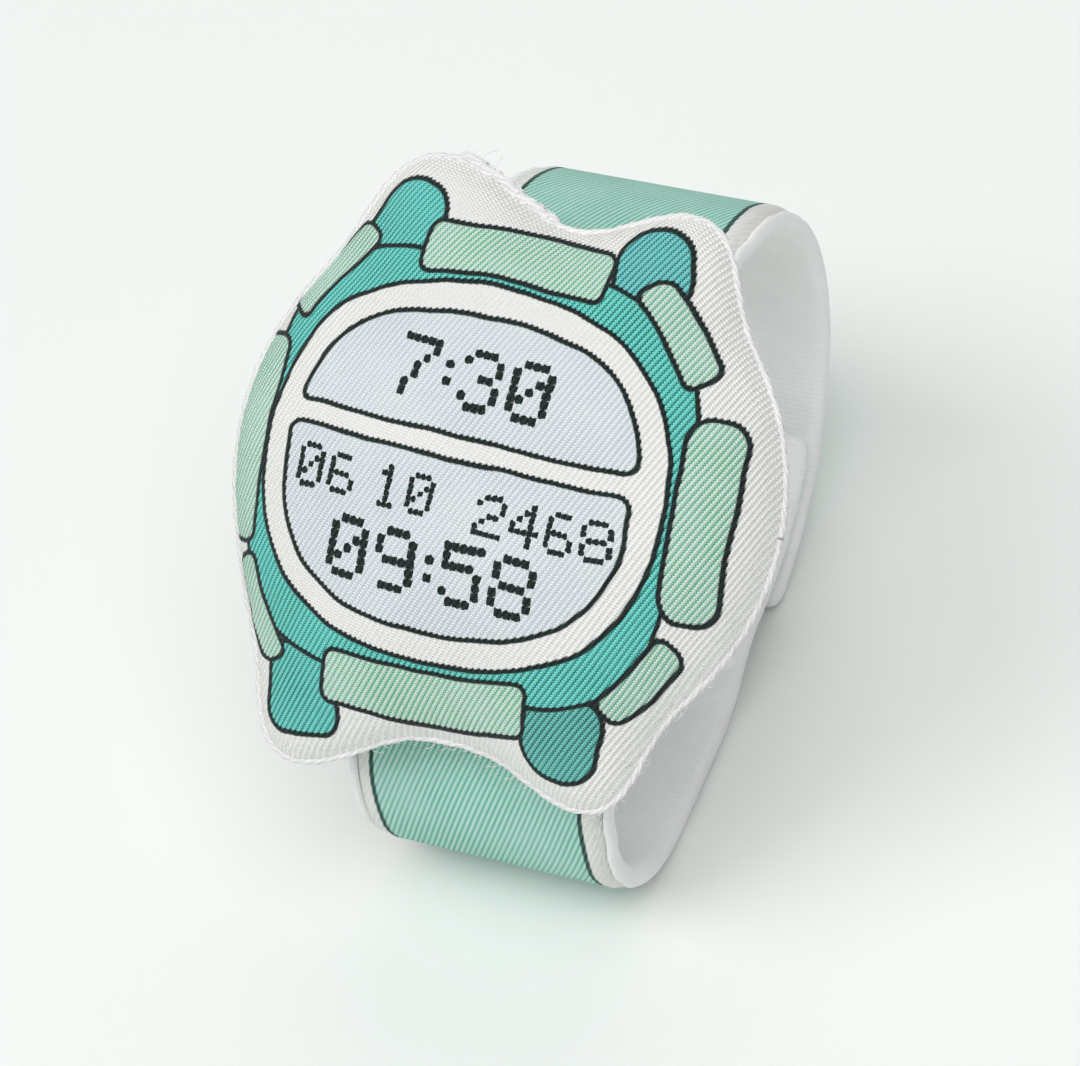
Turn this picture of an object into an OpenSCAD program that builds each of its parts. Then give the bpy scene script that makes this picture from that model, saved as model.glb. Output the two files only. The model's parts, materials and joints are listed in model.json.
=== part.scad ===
// Sewn cloth toy watch: a stuffed head on a padded strap that closes in a loop.
// Millimetres, +Z up. It stands on the strap's flat stretch, with the origin under the
// middle of the whole toy. +X points to 3 o'clock and +Y to the 12 o'clock side of the loop.
// The strap is a flexible band, cut here into links that hinge at its outer surface.

/* [Strap] */
// Width of the strap
strap_w = 30; // [24:0.5:36]
// Thickness of the printed cloth cover
cover_t = 0.6; // [0.4:0.1:1]
// Thickness of the padding core
core_t = 0.8; // [0.5:0.1:1.2]
// Thickness of the soft lining
lining_t = 1.4; // [1:0.1:2]
// Width of the lining where it wraps up each side of the core
side_wrap = 1.5; // [1:0.1:2.5]

/* [Loop] */
// Outer radius of the bend at the 12 o'clock side
upper_r = 29; // [26:0.5:32]
// Outer radius of the bend at the 6 o'clock side
lower_r = 18.5; // [16:0.5:21]
// Distance between the two bend centres along the table
bend_span = 28; // [25:0.5:32]
// Length of the flat stretch that lies on the table
flat_len = 12; // [9:0.5:14]
// Angle of the upper bend that stays with the head
upper_hold = 42; // [36:1:48]
// Angle of the lower bend that stays with the head
lower_hold = 46; // [40:1:52]
// Angle on the upper bend where the closure tab begins
tab_root = -31; // [-36:1:-26]
// Angle on the upper bend where the closure tab ends
tab_tip = -83; // [-86:1:-80]
// Angle on the upper bend where the inner lap ends
lap_end = -38; // [-41:1:-37]

/* [Closure] */
// Length of each fastening patch along the strap
patch_len = 17; // [12:0.5:19]
// Width of each fastening patch
patch_w = 22; // [16:0.5:23]
// Thickness of each fastening patch
patch_t = 0.8; // [0.5:0.1:1.2]
// Clearance between the two patches when closed
patch_gap = 0.15; // [0.1:0.05:0.3]
// Stitches along each side of a patch
patch_stitches = 7; // [4:1:10]
// Distance from a patch's side to its row of stitches
stitch_inset = 1.5; // [1:0.1:2.5]

/* [Head] */
// Distance from the head's centre to its 3 o'clock edge
head_r = 30.5; // [28:0.1:33]
// How far the four corner ears and the swell beside the lower left ear stand out past that circle
ear_h = [6.4, 7.5, 8, 6.8, 2.2]; // [2:0.1:9]
// Angle of each ear and of the swell about the head's centre, from 3 o'clock
ear_at = [61, 114.5, 241, 297.5, 227]; // [0:0.5:360]
// Half-width of each ear and of the swell, as an angle
ear_spread = [13.5, 17, 12.5, 13, 17]; // [9:0.5:18]
// How far the edges at 12 and at 6 o'clock are drawn in
edge_dip = [4.2, 2.6]; // [1:0.1:6]
// Half-width of a drawn-in edge, as an angle
dip_spread = 39; // [30:1:45]
// Height of the front crown over the edge seam
crown_h = 10; // [7:0.5:13]
// Height of the edge seam over the strap
seam_h = 7; // [5:0.5:9]
// How far the head sits from the flat stretch's middle, towards 12 o'clock
head_shift = 9; // [6:0.5:12]
// Thickness of the head's cloth
panel_t = 0.6; // [0.4:0.1:1]
// Width of the flat margin where the two panels meet
seam_margin = 1; // [0.8:0.1:1.6]
// Thickness of the raised edge seam
seam_d = 1.6; // [1.2:0.1:2]

/* [Stitches] */
// Thickness of the sewing thread
thread_d = 0.5; // [0.3:0.05:0.7]
// Number of hand stitches over the closed turning gap
closing_count = 7; // [5:1:9]
// Angle about the head's centre where the turning gap begins
closing_from = 91; // [88:1:95]
// Angle about the head's centre where the turning gap ends
closing_to = 108; // [104:1:112]
// Length of each row of tack stitches under the head
tack_len = 16; // [10:0.5:18]
// Distance between the two rows of tack stitches
tack_w = 18; // [12:0.5:22]
// Stitches in each row under the head
tack_count = 5; // [3:1:7]

/* [Clearances] */
// Air left between one layer of cloth and the next
layer_gap = 0.05; // [0.03:0.01:0.1]
// Air left between the ends of neighbouring links
link_gap = 0.2; // [0.1:0.05:0.4]

/* [Hidden] */

cloth_white = [0.93, 0.94, 0.93];
print_mint = [0.74, 0.90, 0.85];
print_teal = [0.35, 0.70, 0.68];
velour_white = [0.96, 0.96, 0.95];
padding_grey = [0.80, 0.80, 0.78];
wadding_white = [0.90, 0.90, 0.88];
thread_white = [0.98, 0.98, 0.96];
patch_grey = [0.86, 0.87, 0.88];

// Largest turn from one point of a bend to the next
arc_step = 5;
upper_links = 3;
lower_links = 2;

// Depths under the strap's outer surface
core_top = cover_t + layer_gap;
lining_top = core_top + core_t + layer_gap;
strap_t = lining_top + lining_t;

// Places are pairs of Y and Z, counted from the point on the table midway between the bends.
upper_c = [bend_span / 2, upper_r];
lower_c = [-bend_span / 2, lower_r];
// Angle of the outward normal on the straight run under the head
face_angle = 90 + 2 * atan2(upper_r - lower_r, bend_span);
face_out = [cos(face_angle), sin(face_angle)];
face_up = [face_out[1], -face_out[0]];
run_middle = (upper_c + upper_r * face_out + lower_c + lower_r * face_out) / 2;
head_c = run_middle + head_shift * face_up + seam_h * face_out;

// The inner lap lies under the closure tab, with both patches between them.
lap_gap = 2 * patch_t + patch_gap + 2 * layer_gap;
lap_r = upper_r - strap_t - lap_gap;
patch_mid = (tab_tip + lap_end) / 2;
hook_r = upper_r - strap_t - layer_gap;
loop_r = lap_r + layer_gap + patch_t;

// The ramp lifts the strap from the table to the inner lap in two equal and opposite bends.
ramp_run = bend_span - flat_len;
ramp_rise = upper_r - lap_r;
ramp_turn = 2 * atan(ramp_rise / ramp_run);
ramp_r = ramp_run / (2 * sin(ramp_turn));

function arc_angle(length, r) = length * 180 / (PI * r);
function trim(r) = arc_angle(link_gap / 2, r);

// A bend is [centre, radius, first angle, last angle], the angles being those of the outward normal.
// A negative radius bends the strap the other way.
// The strap's outer surface looks straight down on the table, at three quarters of a full turn.
full_turn = 360;
down_angle = full_turn * 3 / 4;
upper_from = face_angle - upper_hold;
upper_step = (upper_from - tab_root) / upper_links;
lower_from = face_angle + lower_hold;
lower_step = (down_angle - lower_from) / lower_links;

head_run = [
    [upper_c, upper_r, upper_from + trim(upper_r), face_angle],
    [lower_c, lower_r, face_angle, lower_from - trim(lower_r)]
];
function upper_run(i) = [[
    upper_c, upper_r,
    upper_from - (i - 1) * upper_step - trim(upper_r), upper_from - i * upper_step + trim(upper_r)
]];
tab_run = [[upper_c, upper_r, tab_root - trim(upper_r), tab_tip]];
function lower_run(i) = [[
    lower_c, lower_r,
    lower_from + (i - 1) * lower_step + trim(lower_r), lower_from + i * lower_step - trim(lower_r)
]];
table_run = [
    [[lower_c[0] + link_gap / 2, 0], 0, down_angle, down_angle],
    [[lower_c[0] + flat_len, ramp_r], ramp_r, down_angle, down_angle + ramp_turn],
    [[upper_c[0], ramp_rise - ramp_r], -ramp_r, down_angle + ramp_turn, down_angle + trim(ramp_r)]
];
lap_run = [[upper_c, lap_r, down_angle + trim(lap_r), full_turn + lap_end]];
function patch_run(r) =
    let (half = arc_angle(patch_len / 2, (hook_r + loop_r) / 2))
    [[upper_c, r, patch_mid - half, patch_mid + half]];

// Points along a run at a depth under its outer surface, with no point twice
function bend_points(bend, depth) =
    let (steps = ceil(abs(bend[3] - bend[2]) / arc_step))
    [for (i = [0 : steps])
        let (a = bend[2] + (bend[3] - bend[2]) * i / max(steps, 1))
        bend[0] + (bend[1] - depth) * [cos(a), sin(a)]];
function run_points(run, depth) =
    let (points = [for (bend = run) each bend_points(bend, depth)])
    [for (i = [0 : len(points) - 1])
        if (i == 0 || norm(points[i] - points[max(i - 1, 0)]) > 0.001) points[i]];
function backwards(points) = [for (i = [len(points) - 1 : -1 : 0]) points[i]];

// The head's outline in its own plane, and the same outline drawn in towards the centre
sides = 84;
rings = 7;
dip_at = [full_turn / 4, down_angle];
// A rounded bump over the angles, one at its middle and falling away over its spread
function bump(a, middle, spread) = exp(-pow((a - middle) / spread, 2));
function total(values) = values * [for (v = values) 1];
function outline_r(a) =
    let (turned = (a + full_turn) % full_turn)
    head_r + total([for (i = [0 : len(ear_at) - 1]) ear_h[i] * bump(turned, ear_at[i], ear_spread[i])])
        - total([for (i = [0 : len(dip_at) - 1]) edge_dip[i] * bump(turned, dip_at[i], dip_spread)]);
function outline_at(a, inset) = outline_r(a) * (1 - inset / head_r) * [cos(a), sin(a)];

// Where the panels start, inside the raised seam, and how far the stuffed back would swell by itself
panel_inset = seam_d + layer_gap;
back_h = seam_h - layer_gap;
back_swell = 1.25 * seam_h;

// A stuffed dome rises from its edge, steep at first, and may be pressed flat at a cap.
// Its rings are round in the middle and take on the outline's ears towards the edge.
function ring_share(i) = 1 - pow(1 - i / rings, 1.6);
function puff(share) = pow(1 - pow(share, 2.4), 0.7);
function ring_at(a, inset, share) =
    let (ear_share = pow(share, 2), circle = (head_r - inset) * [cos(a), sin(a)])
    share * (outline_at(a, inset) * ear_share + circle * (1 - ear_share));
function dome_points(inset, height, cap) =
    [[0, 0, min(height, cap)],
        for (i = [1 : rings], j = [0 : sides - 1])
            let (p = ring_at(j * full_turn / sides, inset, ring_share(i)))
            [p[0], p[1], min(cap, height * puff(ring_share(i)))]];
dome_count = 1 + rings * sides;
function at(base, i, j) = i == 0 ? base : base + 1 + (i - 1) * sides + j % sides;
// The faces of a dome look up when its points are passed over clockwise from above.
function dome_faces(base, edge_base, up) =
    let (faces = [
        for (j = [0 : sides - 1]) [base, at(base, 1, j + 1), at(base, 1, j)],
        for (i = [1 : rings - 1], j = [0 : sides - 1])
            let (outer = i + 1 == rings ? edge_base : base)
            each [
                [at(base, i, j), at(base, i, j + 1), at(outer, i + 1, j + 1)],
                [at(base, i, j), at(outer, i + 1, j + 1), at(outer, i + 1, j)]
            ]
    ])
    up ? faces : [for (f = faces) backwards(f)];

// The seam's ring of points goes round the outline, with a six-sided section.
seam_sides = 6;
seam_points = [for (j = [0 : sides - 1], k = [0 : seam_sides - 1])
    let (turn = k * full_turn / seam_sides, inset = seam_d / 2 * (1 - cos(turn)))
    let (p = outline_at(j * full_turn / sides, inset))
    [p[0], p[1], seam_d / 2 * sin(turn)]];
function seam_at(j, k) = (j % sides) * seam_sides + k % seam_sides;

// The toy's lowest and highest Y, which place the origin under its middle
seam_y = [for (p = seam_points) head_c[0] + p[1] * face_up[0] + p[2] * face_out[0]];
front_y = [for (p = dome_points(panel_inset, crown_h, crown_h))
    head_c[0] + p[1] * face_up[0] + p[2] * face_out[0]];
low_y = min(min(seam_y), min(front_y), lower_c[0] - lower_r);
high_y = max(max(seam_y), max(front_y), upper_c[0] + upper_r);
middle_y = (low_y + high_y) / 2;

module placed() {
    translate([0, -middle_y, 0])
        children();
}

module on_head() {
    placed()
        translate([0, head_c[0], head_c[1]])
            rotate([face_angle - 90, 0, 0])
                children();
}

// One layer of the strap along a run, between two depths
module layer(run, top, bottom, w) {
    rotate([90, 0, 90])
        linear_extrude(height = w, center = true)
            polygon(concat(run_points(run, top), backwards(run_points(run, bottom))));
}

module strap_cover(run) {
    color(print_mint)
        placed()
            layer(run, 0, cover_t, strap_w);
}

module strap_core(run) {
    color(padding_grey)
        placed()
            layer(run, core_top, core_top + core_t, strap_w - 2 * (side_wrap + layer_gap));
}

// The lining lies under the core, and its two walls close the strap's sides up to the cover.
module strap_lining(run) {
    color(velour_white)
        placed() {
            layer(run, lining_top, strap_t, strap_w);
            for (side = [-1, 1])
                translate([side * (strap_w - side_wrap) / 2, 0, 0])
                    layer(run, core_top, lining_top, side_wrap);
        }
}

// A cloth panel is a thin dome with a flat margin where it meets the other panel.
module cloth_dome(height, cap) {
    polyhedron(
        points = concat(
            dome_points(panel_inset, height, cap),
            dome_points(panel_inset + seam_margin, height - panel_t, cap - panel_t)),
        faces = concat(
            dome_faces(0, 0, true),
            dome_faces(dome_count, dome_count, false),
            [for (j = [0 : sides - 1])
                let (a = at(dome_count, rings, j), b = at(dome_count, rings, j + 1),
                    c = at(0, rings, j + 1), d = at(0, rings, j))
                each [[a, d, c], [a, c, b]]]));
}

module face_front_panel() {
    color(print_teal)
        on_head()
            cloth_dome(crown_h, crown_h);
}

module face_back_panel() {
    color(cloth_white)
        on_head()
            mirror([0, 0, 1])
                cloth_dome(back_swell, back_h);
}

module face_filling() {
    inset = panel_inset + seam_margin + layer_gap;
    lost = panel_t + layer_gap;
    front = dome_points(inset, crown_h - lost, crown_h - lost);
    back = dome_points(inset, back_swell - lost, back_h - lost);
    color(wadding_white)
        on_head()
            polyhedron(
                points = concat(front, [for (i = [0 : dome_count - sides - 1])
                    [back[i][0], back[i][1], -back[i][2]]]),
                faces = concat(dome_faces(0, 0, true), dome_faces(dome_count, 0, false)));
}

module face_edge_seam() {
    color(cloth_white)
        on_head()
            polyhedron(
                points = seam_points,
                faces = [for (j = [0 : sides - 1], k = [0 : seam_sides - 1])
                    let (a = seam_at(j, k), b = seam_at(j, k + 1))
                    let (c = seam_at(j + 1, k + 1), d = seam_at(j + 1, k))
                    each [[a, b, c], [a, c, d]]]);
}

// Each hand stitch is a ring of thread round the seam, through both panels' margins.
module closing_stitches() {
    ring_r = (seam_d + thread_d) / 2 + 2 * layer_gap;
    color(thread_white)
        on_head()
            for (i = [0 : closing_count - 1]) {
                a = closing_from + (closing_to - closing_from) * i / (closing_count - 1);
                p = outline_at(a, seam_d / 2);
                along = outline_at(a + 1, seam_d / 2) - outline_at(a - 1, seam_d / 2);
                translate([p[0], p[1], 0])
                    rotate([0, 90, atan2(along[1], along[0])])
                        rotate_extrude($fn = 32)
                            translate([ring_r, 0])
                                circle(d = thread_d, $fn = 16);
            }
}

// Two rows of stitches hold the back panel down on the strap's cover and core.
module tack_stitches() {
    color(thread_white)
        placed()
            for (side = [-1, 1], i = [0 : tack_count - 1]) {
                along = head_shift / 2 + tack_len * (i / (tack_count - 1) - 0.5);
                p = run_middle + along * face_up;
                translate([side * tack_w / 2, p[0], p[1]])
                    rotate([face_angle - 90, 0, 0])
                        translate([0, 0, -core_top - core_t])
                            cylinder(d = thread_d, h = core_top + core_t + layer_gap + panel_t, $fn = 16);
            }
}

module fastening_patch(r) {
    color(patch_grey)
        placed()
            layer(patch_run(r), 0, patch_t, patch_w);
}

// Stitches stand across a patch, from one radius of the upper bend to another.
module patch_thread(from_r, to_r) {
    half = arc_angle(patch_len / 2 - stitch_inset, (hook_r + loop_r) / 2);
    color(thread_white)
        placed()
            for (side = [-1, 1], i = [0 : patch_stitches - 1]) {
                a = patch_mid + half * (2 * i / (patch_stitches - 1) - 1);
                translate([side * (patch_w / 2 - stitch_inset), upper_c[0], upper_c[1]])
                    rotate([a - 90, 0, 0])
                        translate([0, 0, from_r])
                            cylinder(d = thread_d, h = to_r - from_r, $fn = 16);
            }
}

// A stitch goes halfway into the layer that carries its patch, and stops short of the patch's working face.
module hook_stitches() {
    patch_thread(hook_r - patch_t + 2 * layer_gap, upper_r - strap_t + lining_t / 2);
}

module loop_stitches() {
    patch_thread(lap_r - cover_t / 2, loop_r - 2 * layer_gap);
}

face_front_panel();
face_back_panel();
face_filling();
face_edge_seam();
closing_stitches();
tack_stitches();
strap_cover(head_run);  // head_strap_cover
strap_core(head_run);  // head_strap_core
strap_lining(head_run);  // head_strap_lining
strap_cover(upper_run(1));  // upper_1_cover
strap_core(upper_run(1));  // upper_1_core
strap_lining(upper_run(1));  // upper_1_lining
strap_cover(upper_run(2));  // upper_2_cover
strap_core(upper_run(2));  // upper_2_core
strap_lining(upper_run(2));  // upper_2_lining
strap_cover(upper_run(3));  // upper_3_cover
strap_core(upper_run(3));  // upper_3_core
strap_lining(upper_run(3));  // upper_3_lining
strap_cover(tab_run);  // tab_cover
strap_core(tab_run);  // tab_core
strap_lining(tab_run);  // tab_lining
strap_cover(lower_run(1));  // lower_1_cover
strap_core(lower_run(1));  // lower_1_core
strap_lining(lower_run(1));  // lower_1_lining
strap_cover(lower_run(2));  // lower_2_cover
strap_core(lower_run(2));  // lower_2_core
strap_lining(lower_run(2));  // lower_2_lining
strap_cover(table_run);  // lower_3_cover
strap_core(table_run);  // lower_3_core
strap_lining(table_run);  // lower_3_lining
strap_cover(lap_run);  // lower_4_cover
strap_core(lap_run);  // lower_4_core
strap_lining(lap_run);  // lower_4_lining
fastening_patch(hook_r);  // hook_patch
fastening_patch(loop_r);  // loop_patch
hook_stitches();
loop_stitches();
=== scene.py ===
# %% Load the frame
import json
import math

import bpy
import numpy as np
from mathutils import Matrix, Vector
from mathutils.geometry import delaunay_2d_cdt


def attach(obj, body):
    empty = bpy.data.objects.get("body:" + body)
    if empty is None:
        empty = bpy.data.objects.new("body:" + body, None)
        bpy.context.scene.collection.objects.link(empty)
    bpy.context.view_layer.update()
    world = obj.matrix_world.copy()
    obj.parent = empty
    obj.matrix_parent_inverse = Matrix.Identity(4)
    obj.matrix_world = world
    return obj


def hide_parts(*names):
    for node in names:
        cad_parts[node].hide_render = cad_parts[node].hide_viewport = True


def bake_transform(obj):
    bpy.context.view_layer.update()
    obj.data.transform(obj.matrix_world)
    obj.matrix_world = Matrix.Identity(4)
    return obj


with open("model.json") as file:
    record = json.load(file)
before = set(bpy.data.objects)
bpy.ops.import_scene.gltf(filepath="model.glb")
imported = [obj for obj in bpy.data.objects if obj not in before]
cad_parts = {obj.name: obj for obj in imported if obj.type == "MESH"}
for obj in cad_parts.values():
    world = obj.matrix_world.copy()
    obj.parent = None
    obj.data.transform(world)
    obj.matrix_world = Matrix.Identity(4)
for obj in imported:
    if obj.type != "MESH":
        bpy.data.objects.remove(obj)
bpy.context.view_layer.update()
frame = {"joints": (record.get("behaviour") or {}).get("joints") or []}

# %% [markdown]
# This lesson dresses a sewn toy watch: a stuffed cloth head with a printed face, on a padded strap that
# closes in a loop. The loaded frame already holds every piece at its real size and place, so each step
# below makes one soft piece of the real toy over its plain solid. All sizes are millimetres, and only
# the last move of each piece turns them into metres.

# %% Sizes shared with the frame
MM = 0.001
UPPER_R = 29.0
LOWER_R = 18.5
BEND_SPAN = 28.0
FLAT_LEN = 12.0
STRAP_T = 2.9
LAP_R = 24.25
TAB_TIP = -83.0
LAP_END = 322.0
HEAD_SHIFT = 9.0
SEAM_H = 7.0
CROWN_H = 10.0

joint_at = {j["name"]: Vector(j["pos_m"]) / MM for j in frame["joints"]}
middle_y = -BEND_SPAN / 2 - joint_at["lower_3_bend"].y
upper_c = np.array([BEND_SPAN / 2, UPPER_R])
lower_c = np.array([-BEND_SPAN / 2, LOWER_R])
face_angle = 90 + 2 * math.degrees(math.atan2(UPPER_R - LOWER_R, BEND_SPAN))
face_out = np.array([math.cos(math.radians(face_angle)), math.sin(math.radians(face_angle))])
face_up = np.array([face_out[1], -face_out[0]])
run_middle = (upper_c + lower_c + (UPPER_R + LOWER_R) * face_out) / 2
head_c = run_middle + HEAD_SHIFT * face_up + SEAM_H * face_out
print("The head leans back by", round(face_angle - 90, 1), "degrees")


def on_head(points):
    """Points across, up and out from the head's seam plane, as metres in the frame."""
    p = np.asarray(points, float)
    yz = head_c + p[:, 1:2] * face_up + p[:, 2:3] * face_out
    return np.column_stack([p[:, 0], yz[:, 0] - middle_y, yz[:, 1]]) * MM


# %% [markdown]
# The camera stands where the photographer stood: high, a little to the right of the 6 o'clock side, with
# a long lens and a slight roll. Its numbers were fitted to the strap's edges, so the loop and the head
# fall on the same places in the picture.

# %% Camera
view_target = Vector((-1.443, -5.001 - middle_y, 34.877)) * MM
view_azimuth = math.radians(28.93)
view_elevation = math.radians(48.10)
view_roll = math.radians(-10.575)
view_distance = 0.449144
back = Vector((
    math.sin(view_azimuth) * math.cos(view_elevation),
    -math.cos(view_azimuth) * math.cos(view_elevation),
    math.sin(view_elevation),
))
bpy.ops.object.select_all(action="DESELECT")
bpy.ops.object.camera_add()
camera = bpy.context.object
camera.name = "photo_camera"
camera.data.lens = 140
camera.data.sensor_width = 36
camera.rotation_mode = "QUATERNION"
camera.location = view_target + back * view_distance
roll = Matrix.Rotation(view_roll, 4, "Z").to_quaternion()
camera.rotation_quaternion = (-back).to_track_quat("-Z", "Y") @ roll
bpy.context.scene.camera = camera
print("Camera at", [round(x, 3) for x in camera.location])

# %% [markdown]
# Every finish is a small network of nodes. Wiring each one by hand makes long listings, so two helper
# classes do it. A graph adds nodes and plugs in wires or plain numbers. A wire is one output of a node,
# and adding or multiplying wires puts in the math node for that sum.


# %% Node helpers
class Wire:
    """One output of a node, which can be used in sums."""

    def __init__(self, graph, socket):
        self.graph = graph
        self.socket = socket
        self.is_vector = socket.type in ("VECTOR", "RGBA")

    def combine(self, operation, *values):
        return (self.graph.vector if self.is_vector else self.graph.math)(operation, *values)

    def __add__(self, other):
        return self.combine("ADD", self, other)

    def __sub__(self, other):
        return self.combine("SUBTRACT", self, other)

    def __rsub__(self, other):
        return self.combine("SUBTRACT", other, self)

    def __mul__(self, other):
        return self.graph.scale(self, other) if self.is_vector else self.combine("MULTIPLY", self, other)

    def __truediv__(self, other):
        return self.combine("DIVIDE", self, other)

    def __rtruediv__(self, other):
        return self.combine("DIVIDE", other, self)

    def __abs__(self):
        return self.combine("ABSOLUTE", self)

    def parts(self):
        return [Wire(self.graph, s) for s in self.graph.node("ShaderNodeSeparateXYZ", {0: self}).outputs]


class Graph:
    """A node tree under construction."""

    def __init__(self, tree):
        self.tree = tree

    def plug(self, socket, value):
        if isinstance(value, Wire):
            self.tree.links.new(value.socket, socket)
        else:
            socket.default_value = value

    def node(self, kind, inputs=None, **settings):
        made = self.tree.nodes.new(kind)
        for name, value in settings.items():
            setattr(made, name, value)
        for key, value in (inputs or {}).items():
            self.plug(made.inputs[key], value)
        return made

    def wire(self, kind, inputs, output=0, **settings):
        return Wire(self, self.node(kind, inputs, **settings).outputs[output])

    def math(self, operation, *values):
        return self.wire("ShaderNodeMath", dict(enumerate(values)), operation=operation)

    def vector(self, operation, *values):
        output = "Value" if operation in ("LENGTH", "DOT_PRODUCT") else "Vector"
        return self.wire("ShaderNodeVectorMath", dict(enumerate(values)), output, operation=operation)

    def scale(self, vector, factor):
        return self.wire("ShaderNodeVectorMath", {0: vector, "Scale": factor}, operation="SCALE")

    def turn(self, vector, angle):
        return self.wire("ShaderNodeVectorRotate", {0: vector, "Angle": angle}, rotation_type="Z_AXIS")

    def join(self, x, y):
        return self.wire("ShaderNodeCombineXYZ", {0: x, 1: y})

    def mix(self, share, low, high):
        return self.wire("ShaderNodeMix", {0: share, 6: low, 7: high}, 2, data_type="RGBA")

    def gamma(self, colour, power):
        return self.wire("ShaderNodeGamma", {0: colour, 1: power})

    def spread(self, value, low, high, out_low=0.0, out_high=1.0):
        inputs = {0: value, 1: low, 2: high, 3: out_low, 4: out_high}
        return self.wire("ShaderNodeMapRange", inputs, interpolation_type="SMOOTHSTEP")

    def noise(self, vector, scale, detail=2.0, output="Fac"):
        inputs = {"Vector": vector, "Scale": scale, "Detail": detail}
        return self.wire("ShaderNodeTexNoise", inputs, output)

    def shake(self, vector, scale, detail):
        """A noise of small moves to all sides."""
        return self.noise(vector, scale, detail, "Color") - (0.5, 0.5, 0.5)

    def uv(self, name):
        return self.wire("ShaderNodeUVMap", {}, uv_map=name)

    def place(self):
        """The piece's own coordinates, in millimetres."""
        return self.wire("ShaderNodeTexCoord", {}, "Object") * (1 / MM)


def new_group(name, inputs, outputs):
    """A node group with named sockets. Returns its graph, its inputs and its outputs."""
    tree = bpy.data.node_groups.new(name, "ShaderNodeTree")
    for side, sockets in (("INPUT", inputs), ("OUTPUT", outputs)):
        for label, kind in sockets:
            tree.interface.new_socket(label, in_out=side, socket_type="NodeSocket" + kind)
    graph = Graph(tree)
    given = {s.name: Wire(graph, s) for s in graph.node("NodeGroupInput").outputs if s.name}
    return graph, given, graph.node("NodeGroupOutput").inputs


def use_group(graph, name, inputs):
    made = graph.node("ShaderNodeGroup", inputs, node_tree=bpy.data.node_groups[name])
    return {s.name: Wire(graph, s) for s in made.outputs}


CLOTH_SPECULAR = 0.2


def new_material(name, roughness, sheen, sheen_roughness=0.5):
    """A cloth finish with the values that are the same all over its surface."""
    material = bpy.data.materials.new(name)
    material.use_nodes = True
    shader = material.node_tree.nodes["Principled BSDF"]
    shader.inputs["Roughness"].default_value = roughness
    shader.inputs["Sheen Weight"].default_value = sheen
    shader.inputs["Sheen Roughness"].default_value = sheen_roughness
    shader.inputs["Specular IOR Level"].default_value = CLOTH_SPECULAR
    return material, Graph(material.node_tree), shader


def add_bump(graph, shader, height, depth_mm, strength=1.0):
    inputs = {"Height": height, "Distance": depth_mm * MM, "Strength": strength}
    graph.plug(shader.inputs["Normal"], graph.wire("ShaderNodeBump", inputs))


# %% [markdown]
# Twill cloth is woven so that each thread passes over two and under one, one step further along in every
# row. That gives diagonal ribs, with a bead wherever a thread crosses. A picture of the weave would blur
# close up, so cosine waves on the cloth's own flat coordinates draw it: one for the ribs, a weak one at
# half their pitch, and one for the beads. A slow noise bends them, because real yarn is never quite even.

# %% Twill weave
RIB_PITCH = 0.57
BEAD_PITCH = 0.33
RIB_ROUND = 0.6
UNDER_RIB = 0.2
BEAD_DEPTH = 0.55
YARN_NOISE = 0.08
YARN_BEND = 0.35
# The painted highlight on the crests, and where the painted groove shade turns into it
CREST_HIGHLIGHT_GAMMA = 0.7
GROOVE_TOP = 0.18
CREST_FROM = 0.62
CLOUD_NOISE = 0.09
CLOUD_DEPTH = 0.22
FULL_TURN = 2 * math.pi


def wave(turns):
    """A wave from 0 to 1, with one crest for each whole turn."""
    return turns.graph.math("COSINE", turns * FULL_TURN) * -0.5 + 0.5


def make_twill_group():
    graph, given, result = new_group(
        "twill",
        [("Point", "Vector"), ("Across", "Vector"), ("Along", "Vector")],
        [("Rib", "Float"), ("Height", "Float")],
    )
    point = given["Point"] + graph.shake(given["Point"], YARN_NOISE, 0.0) * YARN_BEND
    across = graph.vector("DOT_PRODUCT", point, given["Across"]) / RIB_PITCH
    along = graph.vector("DOT_PRODUCT", point, given["Along"]) / BEAD_PITCH
    next_row = graph.math("FLOOR", across) * 0.5
    rib = graph.math("POWER", wave(across), RIB_ROUND)
    under = wave(across * 2.0 + 0.5)
    bead = wave(along + next_row) * BEAD_DEPTH + (1 - BEAD_DEPTH)
    graph.plug(result["Rib"], rib)
    graph.plug(result["Height"], (under * UNDER_RIB + rib * (1 - UNDER_RIB)) * bead)


make_twill_group()


def weave_at(graph, point, rib_degrees):
    a = math.radians(rib_degrees)
    return use_group(graph, "twill", {
        "Point": point,
        "Across": (math.sin(a), -math.cos(a), 0),
        "Along": (math.cos(a), math.sin(a), 0),
    })


def paint_rib_shade(graph, shader, point, weave, colour, depth_mm=0.22, groove_shade_power=7.0):
    """Weaves a colour, with painted shade in the grooves and a painted highlight on the ribs' crests."""
    # Painted shade darkens the grooves; a painted highlight lightens the crests
    groove = graph.gamma(colour, groove_shade_power)
    lit = graph.gamma(colour, CREST_HIGHLIGHT_GAMMA)
    crest = graph.noise(point, CLOUD_NOISE, 3.0) * CLOUD_DEPTH + weave["Height"]
    crest = graph.spread(crest, GROOVE_TOP, CREST_FROM)
    graph.plug(shader.inputs["Base Color"], graph.mix(crest, groove, lit))
    add_bump(graph, shader, weave["Height"], depth_mm)


print("Twill: ribs every", RIB_PITCH, "mm")

# %% [markdown]
# The face is printed on flat cloth: shapes with a dark outline, laid over each other. Each shape is a
# distance field, the distance from its edge, which gives both the fill and an even outline. One node
# group draws rounded bars and another measures ovals. Each shape takes the colour under it and gives back
# the colour with the shape on top, so the print is built up in layers as the real ink was.

# %% Printed shapes
OUTLINE_W = 0.54
INK_BLEED = 0.09
INK_STEP = 0.12
INK_LINE = (0.004, 0.010, 0.009, 1.0)
FAR = 100.0
LEAST_REACH = 0.05


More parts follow.
